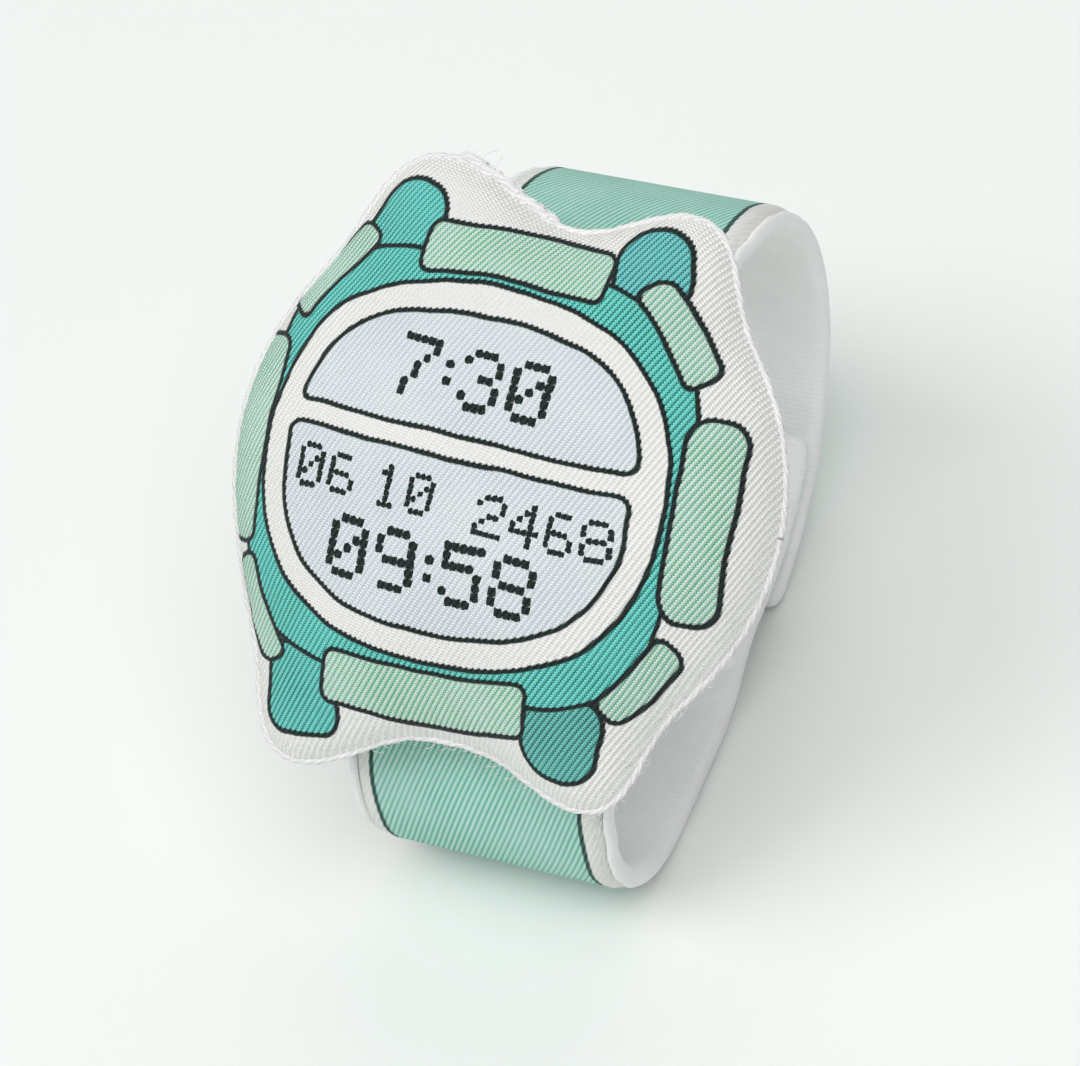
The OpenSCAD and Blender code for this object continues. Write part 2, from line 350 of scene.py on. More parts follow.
def weave_step(rib_degrees):
    """How far the ink creeps along a rib, which makes the printed edges jagged."""
    a = math.radians(rib_degrees)
    return (INK_STEP * math.cos(a), INK_STEP * math.sin(a), 0.0)


def within(graph, distance, edge, bleed=INK_BLEED):
    """1 where a distance is under an edge, fading to 0 over the bleed of the ink."""
    return graph.spread(distance, edge - bleed, edge + bleed, 1.0, 0.0)


def ink_over(graph, under, fill, distance, line_w=OUTLINE_W, ink=INK_LINE):
    """Lays a filled shape with a dark outline over a colour."""
    filled = graph.mix(within(graph, distance, 0.0), under, fill)
    return graph.mix(within(graph, abs(distance), line_w / 2), filled, ink)


def make_bar_group():
    graph, given, result = new_group(
        "printed_bar",
        [("Point", "Vector"), ("Under", "Color"), ("Fill", "Color"), ("Centre", "Vector"),
         ("Half", "Vector"), ("Corner", "Float"), ("Turn", "Float"), ("Bow", "Float")],
        [("Color", "Color")],
    )
    x, y, _ = graph.turn(given["Point"] - given["Centre"], given["Turn"] * -1.0).parts()
    bowed = x * x * given["Bow"] + y
    over_x, over_y, _ = (abs(graph.join(x, bowed)) - given["Half"]).parts()
    over_x = over_x + given["Corner"]
    over_y = over_y + given["Corner"]
    outside = graph.vector("LENGTH", graph.vector("MAXIMUM", graph.join(over_x, over_y), (0, 0, 0)))
    inside = graph.math("MINIMUM", graph.math("MAXIMUM", over_x, over_y), 0.0)
    distance = outside + inside - given["Corner"]
    graph.plug(result["Color"], ink_over(graph, given["Under"], given["Fill"], distance))


def make_oval_group():
    """The distance from an oval whose sides are flatter than an ellipse's."""
    graph, given, result = new_group(
        "oval",
        [("Point", "Vector"), ("Centre", "Vector"), ("Radii", "Vector"), ("Power", "Float")],
        [("Distance", "Float")],
    )
    local = given["Point"] - given["Centre"]
    power = given["Power"]
    x, y, _ = abs(local / given["Radii"]).parts()
    total = graph.math("POWER", x, power) + graph.math("POWER", y, power)
    reach = graph.math("POWER", total, 1.0 / power)
    short = 1.0 - 1.0 / graph.math("MAXIMUM", reach, LEAST_REACH)
    graph.plug(result["Distance"], graph.vector("LENGTH", local) * short)


make_bar_group()
make_oval_group()
print("Node groups:", [g.name for g in bpy.data.node_groups])

# %% [markdown]
# The read-out is a grid of dots, as on any cheap digital clock. A colour ramp with hard steps works as a
# small lookup table: each step holds one column of dots as a whole number, and a little arithmetic asks
# whether the bit for this row is set. The numbers shown are plain ones.

# %% Dot numerals
DOT_ROWS = 7
DOT_R = 0.59
DOT_BLEED = 0.1
DIGITS = {
    "0": "01110 10001 10011 10101 11001 10001 01110",
    "1": "00100 01100 00100 00100 00100 00100 01110",
    "2": "01110 10001 00001 00110 01000 10000 11111",
    "3": "01110 10001 00001 00110 00001 10001 01110",
    "4": "00010 00110 01010 10010 11111 00010 00010",
    "5": "11111 10000 11110 00001 00001 10001 01110",
    "6": "01110 10000 10000 11110 10001 10001 01110",
    "7": "11111 00001 00010 00100 00100 01000 01000",
    "8": "01110 10001 10001 01110 10001 10001 01110",
    "9": "01110 10001 10001 01111 00001 00001 01110",
    ":": "0 0 1 0 1 0 0",
    " ": "00 00 00 00 00 00 00",
}


def dot_columns(text):
    """Each column of dots as a whole number, with the lowest row as the first bit."""
    columns = [0]
    for glyph in text:
        rows = DIGITS[glyph].split()[::-1]
        for c in range(len(rows[0])):
            columns.append(sum(2 ** r for r in range(DOT_ROWS) if rows[r][c] == "1"))
        columns.append(0)
    return columns


def column_bits(graph, column, columns):
    """Looks a column's whole number up in a stepped colour ramp."""
    ramp = graph.node("ShaderNodeValToRGB", {0: (column + 0.5) / float(len(columns))})
    ramp.color_ramp.interpolation = "CONSTANT"
    stops = ramp.color_ramp.elements
    stops.remove(stops[1])
    for i, bits in enumerate(columns):
        stop = stops[0] if i == 0 else stops.new(i / len(columns))
        stop.color = (bits / 2 ** DOT_ROWS,) * 3 + (1.0,)
    share = Wire(graph, ramp.outputs[0])
    return graph.math("ROUND", graph.math("MULTIPLY", share, float(2 ** DOT_ROWS)))


def ink_numerals(graph, point, under, text, left, bottom, pitch):
    local = (point - (left, bottom, 0.0)) * (1 / pitch)
    column, row, _ = graph.vector("FLOOR", local).parts()
    x, y, _ = (graph.vector("FRACTION", local) - (0.5, 0.5, 0.0)).parts()
    dot = within(graph, graph.vector("LENGTH", graph.join(x, y)), DOT_R, DOT_BLEED)
    bits = column_bits(graph, column, dot_columns(text))
    shifted = graph.math("FLOOR", bits / graph.math("POWER", 2.0, row))
    bit = graph.math("MODULO", shifted, 2.0)
    in_rows = graph.math("COMPARE", row, (DOT_ROWS - 1) / 2, DOT_ROWS / 2)
    return graph.mix(bit * dot * in_rows, under, INK_LINE)


# %% [markdown]
# Now the face itself, in ink order: four lugs, the bezel, the bars round it, the white oval, and its two
# panes with numerals. The print sits about 2 mm left of the head's middle and its panes slope by 2 degrees,
# because the cloth was cut and sewn by hand.

# %% Printed face material
CLOTH_WHITE = (0.965, 0.968, 0.958, 1.0)
TEAL_LUG = (0.105, 0.72, 0.66, 1.0)
BLUE_LUG = (0.11, 0.655, 0.655, 1.0)
# The lower right lug's teal is painted darker, as shade on the lower part of the head
SHADED_LUG = (0.09, 0.55, 0.49, 1.0)
TEAL_BEZEL = (0.105, 0.745, 0.675, 1.0)
MINT_BAR = (0.65, 0.87, 0.78, 1.0)
PANE_GREY = (0.893, 0.917, 0.938, 1.0)
PRINT_CENTRE = (-2.1, 0.0, 0.0)
FACE_RIB = 62.0

# Each oval: radii, and a power that squares its corners
WHITE_OVAL = ((21.9, 19.3, 1.0), 2.45)
PANE_OVAL = ((18.9, 16.2, 1.0), 2.6)
BEZEL_OVAL = ((23.6, 22.2, 1.0), 3.6)

# Each lug and bar: centre, half sizes, corner, turn in degrees, bow, and a lug's ink (painted shade on the
# lower right lug)
LUGS = [
    ((-14.0, 24.2), (3.9, 4.9), 3.5, -23.0, 0.0, TEAL_LUG),
    ((13.3, 24.0), (3.8, 4.4), 3.7, 12.0, 0.0, BLUE_LUG),
    ((-15.8, -25.0), (4.2, 4.6), 2.2, 6.0, 0.0, TEAL_LUG),
    ((13.0, -24.0), (3.9, 4.6), 3.2, -8.0, 0.0, SHADED_LUG),
]
BARS = [
    ((17.7, 18.3), (5.9, 1.8), 1.3, -51.0, 0.012),
    ((-21.3, 18.4), (6.0, 1.8), 1.2, 55.0, 0.012),
    ((20.0, -17.0), (5.0, 1.7), 1.3, 55.0, -0.012),
    ((-22.9, -17.9), (5.9, 1.6), 1.2, -59.0, -0.012),
    ((23.4, -0.1), (2.9, 10.3), 2.5, 0.5, 0.0),
    ((-27.2, -0.3), (2.9, 10.8), 1.5, -1.0, 0.0),
    ((-0.6, 22.7), (9.9, 2.65), 1.2, -1.0, 0.004),
    ((-2.0, -23.1), (11.2, 2.8), 1.3, 1.5, -0.004),
]

# Each pane: the height of its straight edge, and 1 for the upper pane or -1 for the lower
PANES = [(3.95, 1.0), (1.55, -1.0)]
PANE_CORNER = 1.3
PANE_SLOPE = math.radians(-2.2)

# Each line of numerals: text, left, bottom and pitch of the dots
READ_OUT = [
    ("7:30", -11.6, 6.5, 0.90),
    ("06 10", -20.0, -4.9, 0.62),
    ("2468", 1.0, -5.5, 0.62),
    ("09:58", -14.9, -13.0, 0.92),
]

# Uneven hand drawing: scale, detail and reach of a fine ripple and of a slow drift
INK_RIPPLE = (0.5, 2.0, 0.22)
INK_DRIFT = (0.11, 1.0, 1.3)


def ink_bars(graph, point, colour, bars):
    for centre, half, corner, turn, bow, fill in bars:
        colour = use_group(graph, "printed_bar", {
            "Point": point, "Under": colour, "Fill": fill, "Centre": (*centre, 0), "Half": (*half, FAR),
            "Corner": corner, "Turn": math.radians(turn), "Bow": bow,
        })["Color"]
    return colour


def oval_distance(graph, point, radii, power):
    given = {"Point": point, "Centre": PRINT_CENTRE, "Radii": radii, "Power": power}
    return use_group(graph, "oval", given)["Distance"]


def ink_pane(graph, point, under, edge_y, side):
    """One pane: an oval cut off by a straight edge, with rounded corners."""
    oval = oval_distance(graph, point, *PANE_OVAL)
    down = (math.sin(PANE_SLOPE) * side, -math.cos(PANE_SLOPE) * side, 0.0)
    edge = graph.vector("DOT_PRODUCT", point - (PRINT_CENTRE[0], edge_y, 0.0), down)
    rounded = graph.join(oval, edge) + (PANE_CORNER, PANE_CORNER, 0.0)
    corner = graph.vector("LENGTH", graph.vector("MAXIMUM", rounded, (0, 0, 0)))
    inner = graph.math("MINIMUM", graph.math("MAXIMUM", oval, edge), -PANE_CORNER)
    return ink_over(graph, under, PANE_GREY, corner + inner)


def make_face_material():
    material, graph, shader = new_material("printed_face_twill", 0.72, 0.04)
    cloth = graph.uv("cloth")
    weave = weave_at(graph, cloth, FACE_RIB)
    point = graph.uv("print")
    inked = point
    for scale, detail, reach in (INK_RIPPLE, INK_DRIFT):
        inked = inked + graph.shake(point, scale, detail) * reach
    inked = inked + graph.scale(weave_step(FACE_RIB), weave["Rib"] - 0.5)
    colour = ink_bars(graph, inked, CLOTH_WHITE, LUGS)
    colour = ink_over(graph, colour, TEAL_BEZEL, oval_distance(graph, inked, *BEZEL_OVAL))
    colour = ink_bars(graph, inked, colour, [(*bar, MINT_BAR) for bar in BARS])
    colour = ink_over(graph, colour, CLOTH_WHITE, oval_distance(graph, inked, *WHITE_OVAL))
    for edge_y, side in PANES:
        colour = ink_pane(graph, inked, colour, edge_y, side)
    sloped = graph.turn(inked, -PANE_SLOPE)
    for line in READ_OUT:
        colour = ink_numerals(graph, sloped, colour, *line)
    paint_rib_shade(graph, shader, cloth, weave, colour)
    return material


face_material = make_face_material()
print("Face print:", len(LUGS), "lugs,", len(BARS), "bars,", len(PANES), "panes")

# %% [markdown]
# The strap's cover is the same twill, printed with one mint band between two dark lines. The head's back
# and the turned seam are plain white twill. The lining is velour, a knitted cloth with a short dense
# pile: fine courses, a soft noise and a strong sheen make it look brushed.

# %% Plain cloth materials
BAND_HALF = 11.85
BAND_LINE = 0.5
BAND_WANDER = 0.7
STRAP_MINT = (0.51, 0.88, 0.81, 1.0)
BAND_EDGE = (0.010, 0.075, 0.055, 1.0)
STRAP_RIB = -69.0
SEAM_RIB = 24.0
COURSE_PITCH = 0.62
PILE_LOW = (0.84, 0.85, 0.84, 1.0)
PILE_HIGH = (0.94, 0.945, 0.94, 1.0)
THREAD_LOW = (0.78, 0.78, 0.76, 1.0)
THREAD_HIGH = (0.93, 0.93, 0.91, 1.0)


def make_cover_material():
    material, graph, shader = new_material("printed_strap_twill", 0.72, 0.04)
    point = graph.uv("cloth")
    weave = weave_at(graph, point, STRAP_RIB)
    wander = graph.noise(point, 0.08) * BAND_WANDER - BAND_WANDER / 2
    edge = abs(point.parts()[0]) + wander - BAND_HALF
    paint_rib_shade(graph, shader, point, weave, ink_over(graph, CLOTH_WHITE, STRAP_MINT, edge, BAND_LINE, BAND_EDGE))
    return material


def make_plain_twill(name, rib_degrees, depth_mm, groove_shade_power, low, high):
    material, graph, shader = new_material(name, 0.75, 0.10)
    point = graph.uv("cloth")
    tint = graph.mix(graph.noise(point, 0.12, 3.0), (low, low, low, 1.0), (high, high, high, 1.0))
    paint_rib_shade(graph, shader, point, weave_at(graph, point, rib_degrees), tint, depth_mm, groove_shade_power)
    return material


def make_velour():
    material, graph, shader = new_material("white_velour", 0.95, 0.35, 0.6)
    point = graph.uv("cloth")
    course = wave(point.parts()[1] / COURSE_PITCH)
    pile = graph.noise(point, 4.5, 4.0)
    brushed = graph.noise(point, 0.16, 3.0)
    tint = graph.spread(brushed * 0.4 + (course * 0.10 + pile * 0.5), 0.25, 0.75)
    graph.plug(shader.inputs["Base Color"], graph.mix(tint, PILE_LOW, PILE_HIGH))
    add_bump(graph, shader, course * 0.25 + pile, 0.10, 0.7)
    return material


def make_fleece(name, light, dark, grain):
    """Loose fibres: wadding, padding and brushed tape."""
    material, graph, shader = new_material(name, 0.95, 0.3)
    fibre = graph.noise(graph.place(), grain, 5.0)
    colour = graph.mix(graph.spread(fibre, 0.3, 0.7), (*dark, 1.0), (*light, 1.0))
    graph.plug(shader.inputs["Base Color"], colour)
    add_bump(graph, shader, fibre, 0.25)
    return material


def make_thread_material():
    material, graph, shader = new_material("white_thread", 0.55, 0.1)
    ply = graph.noise(graph.place(), 6.0, 3.0)
    graph.plug(shader.inputs["Base Color"], graph.mix(ply, THREAD_LOW, THREAD_HIGH))
    add_bump(graph, shader, ply, 0.08)
    return material


cover_material = make_cover_material()
# Plain white twill gets painted shade in its grooves; the seam's white is painted darker, as shade on its
# ridge
back_material = make_plain_twill("plain_white_twill", FACE_RIB, 0.20, 4.5, 0.89, 0.93)
seam_material = make_plain_twill("turned_seam_twill", SEAM_RIB, 0.10, 2.0, 0.78, 0.87)
velour_material = make_velour()
wadding_material = make_fleece("wadding_fibre", (0.90, 0.90, 0.88), (0.72, 0.72, 0.70), 1.6)
padding_material = make_fleece("needled_padding", (0.84, 0.84, 0.82), (0.66, 0.66, 0.64), 2.5)
loop_material = make_fleece("brushed_loop_tape", (0.90, 0.91, 0.91), (0.74, 0.75, 0.75), 4.0)
hook_material = make_fleece("hook_tape_nylon", (0.86, 0.87, 0.88), (0.74, 0.75, 0.76), 3.0)
thread_material = make_thread_material()
print("Materials:", [m.name for m in bpy.data.materials if m.use_nodes])

# %% [markdown]
# Soft pieces are made as meshes in code, because a loop of cloth or a stuffed panel has no useful
# primitive. These helpers build a mesh with its flat cloth coordinates as a UV map, close it, smooth it
# and hang it on the body that carries it.


# %% Mesh helpers
def select_only(piece):
    bpy.ops.object.select_all(action="DESELECT")
    piece.select_set(True)
    bpy.context.view_layer.objects.active = piece


def make_piece(name, points, faces, **uv_maps):
    mesh = bpy.data.meshes.new(name)
    mesh.from_pydata(np.asarray(points, float).tolist(), [], [list(map(int, f)) for f in faces])
    corners = np.empty(len(mesh.loops), np.int32)
    mesh.loops.foreach_get("vertex_index", corners)
    for map_name, flat in uv_maps.items():
        layer = mesh.uv_layers.new(name=map_name)
        layer.data.foreach_set("uv", np.asarray(flat, np.float32)[corners, :2].ravel())
    piece = bpy.data.objects.new(name, mesh)
    bpy.context.scene.collection.objects.link(piece)
    return piece


def face_outwards(piece):
    select_only(piece)
    bpy.ops.object.mode_set(mode="EDIT")
    bpy.ops.mesh.select_all(action="SELECT")
    bpy.ops.mesh.normals_make_consistent(inside=False)
    bpy.ops.object.mode_set(mode="OBJECT")


def dress(piece, material, body=None, replaces=(), sharp_degrees=50):
    """Smooths a finished mesh, gives it its cloth and its slot, and hangs it on its body."""
    piece.data.materials.clear()
    piece.data.materials.append(material)
    select_only(piece)
    bpy.ops.object.shade_smooth_by_angle(angle=math.radians(sharp_degrees))
    if body:
        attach(piece, body)
    if replaces:
        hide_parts(*replaces)
    return piece


def apply_modifier(piece, kind, **settings):
    modifier = piece.modifiers.new(kind.title(), kind)
    for name, value in settings.items():
        setattr(modifier, name, value)
    select_only(piece)
    bpy.ops.object.modifier_apply(modifier=modifier.name)


# %% [markdown]
# The head's outline is a circle with four rounded ears, a soft swell beside the lower left one, and two
# drawn-in edges at 12 and 6 o'clock. Two panels were sewn along it, turned right side out and stuffed.
# The outline below is the frame's own, so the cloth meets the frame's seam everywhere.

# %% Head outline
HEAD_R = 30.5
# Each ear and each dip: its angle, its height, and its width as an angle
EARS = [(61.0, 6.4, 13.5), (114.5, 7.5, 17.0), (241.0, 8.0, 12.5), (297.5, 6.8, 13.0), (227.0, 2.2, 17.0)]
DIPS = [(90.0, 4.2, 39.0), (270.0, 2.6, 39.0)]
PANEL_INSET = 0.55
LATTICE = 1.0
LATTICE_REACH = 42
RIM_GAP = 0.75
SHARE_ROUNDS = 30


def outline_r(degrees):
    a = np.asarray(degrees, float) % 360
    r = np.full_like(a, HEAD_R)
    for middle, height, width in EARS:
        r = r + height * np.exp(-((a - middle) / width) ** 2)
    for middle, depth, width in DIPS:
        r = r - depth * np.exp(-((a - middle) / width) ** 2)
    return r


def outline_at(degrees, inset=0.0):
    a = np.radians(degrees)
    r = outline_r(degrees) * (1 - inset / HEAD_R)
    return np.column_stack([r * np.cos(a), r * np.sin(a)])


def even_angles(spacing, inset=0.0):
    """Angles that step evenly along the outline, all the way round."""
    fine = np.linspace(0, 360, 3601)
    p = outline_at(fine, inset)
    run = np.concatenate([[0], np.cumsum(np.linalg.norm(np.diff(p, axis=0), axis=1))])
    count = int(round(run[-1] / spacing))
    return np.interp(np.linspace(0, run[-1], count, endpoint=False), run, fine), run[-1]


seam_angles, seam_length = even_angles(LATTICE, PANEL_INSET)
print("Seam length", round(seam_length, 1), "mm")


def edge_share(points):
    """How far a point lies from the middle towards the edge, from 0 to 1."""
    p = np.asarray(points, float)
    r = np.hypot(p[:, 0], p[:, 1])
    full = outline_r(np.degrees(np.arctan2(p[:, 1], p[:, 0])))
    share = r / full
    for _ in range(SHARE_ROUNDS):
        reach = full * share ** 2 + HEAD_R * (1 - share ** 2)
        share = 0.5 * (share + r / reach * HEAD_R / (HEAD_R - PANEL_INSET))
    return np.clip(share, 0, 1)


def cut_panel():
    """The flat cut: an even lattice of points inside the outline, joined by triangles."""
    edge = outline_at(seam_angles, PANEL_INSET)
    step_y = LATTICE * math.sqrt(3) / 2
    rows = int(LATTICE_REACH / step_y)
    lattice = np.array([
        ((i + 0.5 * (j % 2)) * LATTICE, j * step_y)
        for j in range(-rows, rows + 1) for i in range(-LATTICE_REACH, LATTICE_REACH + 1)
    ])
    r = np.hypot(*lattice.T)
    room = outline_r(np.degrees(np.arctan2(lattice[:, 1], lattice[:, 0]))) * (1 - PANEL_INSET / HEAD_R)
    inner = lattice[r < room - RIM_GAP * LATTICE]
    points = np.vstack([edge, inner])
    rim = [(i, (i + 1) % len(edge)) for i in range(len(edge))]
    made = delaunay_2d_cdt([Vector(p) for p in points], rim, [], 1, 1e-5)
    flat = np.array([tuple(v) for v in made[0]])
    return flat, [tuple(f) for f in made[2]], len(edge)


flat_cut, flat_faces, rim_count = cut_panel()
corners = flat_cut[np.array(flat_faces)]
side_a, side_b = corners[:, 1] - corners[:, 0], corners[:, 2] - corners[:, 0]
cut_area = float(np.abs(side_a[:, 0] * side_b[:, 1] - side_a[:, 1] * side_b[:, 0]).sum() / 2)
print("Panel cut:", len(flat_cut), "points,", round(cut_area), "square millimetres")

# %% [markdown]
# Stuffing pushes a flat panel out until its threads are tight. The cloth is given a little spare length,
# held along the seam and blown up with air pressure, which is how the edge gets its soft radial puckers.
# The solver likes objects of about a metre, so the panel is simulated sixteen times too large. The result
# is then set to the crown height that the frame has.

# %% Stuffed panels
SIM_SCALE = 16 * MM
SIM_FRAMES = 36
SPARE_CLOTH = 0.055
CLOTH_SETTINGS = {
    "quality": 8, "mass": 0.15, "tension_stiffness": 25, "compression_stiffness": 25, "shear_stiffness": 12,
    "bending_stiffness": 0.6, "air_damping": 2, "use_pressure": True, "uniform_pressure_force": 4.0,
    "shrink_min": -SPARE_CLOTH,
}
FIRST_SWELL = 0.02
EVEN_ROUNDS = 10
SOLVER_SHARE = 0.35
CROWN_PERCENT = 99.5
FRAME_DOME = (2.4, 0.7)
CLOTH_T = 0.6
SEAM_DROP = 0.75
# The print slides across and up by these shares of the height over the plain dome
PRINT_LEAN = np.array([0.342, 0.052])
BACK_SWELL = 1.25 * SEAM_H
BACK_CAP = SEAM_H - 0.05


def dome_height(points, height, flat=3.0, steep=0.55):
    """The plain stuffed form: steep at the seam and round in the middle."""
    share = edge_share(points)
    return height * (1 - share ** flat) ** steep


def blow_up():
    """Lets the pinned flat cut swell, and gives back its points in millimetres."""
    start = np.column_stack([flat_cut, FIRST_SWELL * dome_height(flat_cut, CROWN_H)])
    panel = make_piece("panel_simulation", start * SIM_SCALE, flat_faces)
    held = panel.vertex_groups.new(name="sewn_edge")
    held.add(list(range(rim_count)), 1.0, "REPLACE")
    cloth = panel.modifiers.new("Cloth", "CLOTH")
    for name, value in CLOTH_SETTINGS.items():
        setattr(cloth.settings, name, value)
    cloth.settings.vertex_group_mass = held.name
    cloth.settings.effector_weights.gravity = 0
    cloth.collision_settings.use_collision = False
    cloth.point_cache.frame_end = SIM_FRAMES
    for step in range(1, SIM_FRAMES + 1):
        bpy.context.scene.frame_set(step)
    select_only(panel)
    bpy.ops.object.modifier_apply(modifier=cloth.name)
    moved = np.array([v.co for v in panel.data.vertices]) / SIM_SCALE
    bpy.data.objects.remove(panel)
    bpy.context.scene.frame_set(1)
    return moved


def even_out(values, rounds):
    """Averages a value over neighbouring points, with the sewn edge held."""
    links = np.array([(f[i], f[(i + 1) % 3]) for f in flat_faces for i in range(3)])
    links = np.vstack([links, links[:, ::-1]])
    count = np.bincount(links[:, 0], minlength=len(values))[:, None]
    for _ in range(rounds):
        total = np.zeros_like(values)
        np.add.at(total, links[:, 0], values[links[:, 1]])
        values = np.vstack([values[:rim_count], (total / count)[rim_count:]])
    return values


def stuffed_points(height):
    start = np.column_stack([flat_cut, np.zeros(len(flat_cut))])
    moved = start + even_out(blow_up() - start, EVEN_ROUNDS)
    plain = dome_height(moved, height)
    swollen = moved[:, 2] * height / np.percentile(moved[:, 2], CROWN_PERCENT)
    moved[:, 2] = SOLVER_SHARE * swollen + (1 - SOLVER_SHARE) * plain
    return moved


def press_flat(heights, cap):
    """Rounds heights off at a cap, as on a surface that the panel lies on."""
    soft = 1.2
    return np.where(heights > cap - soft, cap - soft * np.exp(-(heights - cap + soft) / soft), heights)


def make_panel(name, node, points, faces, material):
    spread_cloth = flat_cut * (1 + SPARE_CLOTH)
    over = points[:, 2] - dome_height(points, CROWN_H, *FRAME_DOME)
    printed = points[:, :2] - over[:, None] * PRINT_LEAN
    panel = make_piece(name, on_head(points), faces, cloth=spread_cloth, print=printed)
    apply_modifier(panel, "SOLIDIFY", thickness=CLOTH_T * MM, offset=-1)
    dress(panel, material, "head", [node])
    print(name, "rises to", round(float(np.abs(points[:, 2]).max()), 2), "mm")
    return panel


front_points = stuffed_points(CROWN_H + SEAM_DROP) - [0, 0, SEAM_DROP]
back_dome = SEAM_DROP + dome_height(flat_cut, BACK_SWELL, *FRAME_DOME)
back_points = np.column_stack([flat_cut, -press_flat(back_dome, BACK_CAP)])
back_faces = [f[::-1] for f in flat_faces]
make_panel("printed_front", "face_front_panel", front_points, flat_faces, face_material)
make_panel("plain_back", "face_back_panel", back_points, back_faces, back_material)

# %% [markdown]
# Inside is a ball of loose wadding. Nobody sees it, but it fills the panels, so it is made from the same
# cut: both stuffed surfaces drawn in by a little more than the cloth's thickness and joined at the rim.

# %% Filling
FILL_GAP = CLOTH_T + 0.15
FILL_INSET = 2.2
FILL_LEAST = 0.02


def make_filling():
    inward = 1 - FILL_INSET / HEAD_R
    front = front_points * [inward, inward, 1]
    rear = back_points * [inward, inward, 1]
    front[:, 2] = np.maximum(front[:, 2] - FILL_GAP, FILL_LEAST - SEAM_DROP)
    rear[:, 2] = np.minimum(rear[:, 2] + FILL_GAP, -FILL_LEAST - SEAM_DROP)
    front[:rim_count, 2] = -SEAM_DROP
    count = len(front)
    rear_index = [i if i < rim_count else i + count - rim_count for i in range(count)]
    faces = flat_faces + [tuple(rear_index[i] for i in f[::-1]) for f in flat_faces]
    filling = make_piece("wadding_fill", on_head(np.vstack([front, rear[rim_count:]])), faces)
    dress(filling, wadding_material, "head", ["face_filling"])


make_filling()
print("Filling made")

# %% [markdown]
# The turned edge shows as a narrow ridge with the weave running round it like the lay of a rope. It is a
# tube along the outline whose section swells and turns as it goes, with small uneven bumps.

# %% Edge seam
SEAM_R = 0.36
SEAM_CENTRE = 0.54
SEAM_SIDES = 12
SEAM_STEP = 0.25
SEAM_HEIGHT = 0.9
SEAM_SWAY = (0.9, 0.37, 2.1)
LAY_PITCH = 0.8
LAY_DEPTH = 0.10
BUMP_DEPTH = 0.16


def tube_faces(rings, sides, closed):
    """Quads round a tube of rings. A tube that is not closed in a loop has open ends."""
    last = rings if closed else rings - 1
    return [
        (i * sides + k, i * sides + (k + 1) % sides,
         (i + 1) % rings * sides + (k + 1) % sides, (i + 1) % rings * sides + k)
        for i in range(last) for k in range(sides)
    ]


def sway(run, rates, fast_share, phase=0.0):
    """An unevenness along a run, from waves that never fall into step."""
    slow, slower, fast = rates
    return np.sin(run * slow) * np.sin(run * slower + 1) + fast_share * np.sin(run * fast + phase)


def make_edge_seam():
    angles, length = even_angles(SEAM_STEP, SEAM_CENTRE)
    centre = outline_at(angles, SEAM_CENTRE)
    run = np.arange(len(angles)) * length / len(angles)
    outward = np.gradient(np.vstack([centre[-2:], centre, centre[:2]]), axis=0)[2:-2]
    outward = np.column_stack([outward[:, 1], -outward[:, 0]])
    outward /= np.linalg.norm(outward, axis=1)[:, None]
    turns = round(length / LAY_PITCH)
    points, flat = [], []
    for k in range(SEAM_SIDES):
        around = FULL_TURN * k / SEAM_SIDES
        lay = np.cos(2 * around - FULL_TURN * turns * run / length)
        r = SEAM_R * (1 + LAY_DEPTH * lay + BUMP_DEPTH * sway(run, SEAM_SWAY, 0.6, around))
        side = centre + outward * (r * math.cos(around))[:, None]
        points.append(np.column_stack([side, r * math.sin(around) * SEAM_HEIGHT - SEAM_DROP]))
        flat.append(np.column_stack([run, np.full(len(run), around * SEAM_R)]))
    points = np.stack(points, axis=1).reshape(-1, 3)
    flat = np.stack(flat, axis=1).reshape(-1, 2)
    faces = tube_faces(len(run), SEAM_SIDES, True)
    seam = make_piece("turned_edge_seam", on_head(points), faces, cloth=flat)
    face_outwards(seam)
    return dress(seam, seam_material, "head", ["face_edge_seam"])


make_edge_seam()
print("Edge seam made")

# %% [markdown]
# The strap is one long band of three layers: printed cover, padding and velour lining. Its line in the
# side view is a chain of arcs and straight runs, the same as the frame's. It is described by the distance
# along the band from the tip of the closure tab.

# %% Strap line
ramp_run = BEND_SPAN - FLAT_LEN
ramp_rise = UPPER_R - LAP_R
ramp_turn = 2 * math.degrees(math.atan(ramp_rise / ramp_run))
ramp_r = ramp_run / (2 * math.sin(math.radians(ramp_turn)))
DOWN = 270.0
SEARCH_STEP = 0.02


def arc(centre, r, first, last):
    return {"length": abs(r) * math.radians(abs(last - first)), "centre": np.array(centre), "r": r,
            "first": first, "last": last}


def straight(start, end, normal):
    start, end = np.array(start), np.array(end)
    return {"length": float(np.linalg.norm(end - start)), "start": start, "end": end, "first": normal}


STRAP_RUNS = [
    arc(upper_c, UPPER_R, TAB_TIP, face_angle),
    straight(upper_c + UPPER_R * face_out, lower_c + LOWER_R * face_out, face_angle),
    arc(lower_c, LOWER_R, face_angle, DOWN),
    straight((lower_c[0], 0.0), (lower_c[0] + FLAT_LEN, 0.0), DOWN),
    arc((lower_c[0] + FLAT_LEN, ramp_r), ramp_r, DOWN, DOWN + ramp_turn),
    arc((upper_c[0], ramp_rise - ramp_r), -ramp_r, DOWN + ramp_turn, DOWN),
    arc(upper_c, LAP_R, DOWN, LAP_END),
]
strap_length = sum(run["length"] for run in STRAP_RUNS)


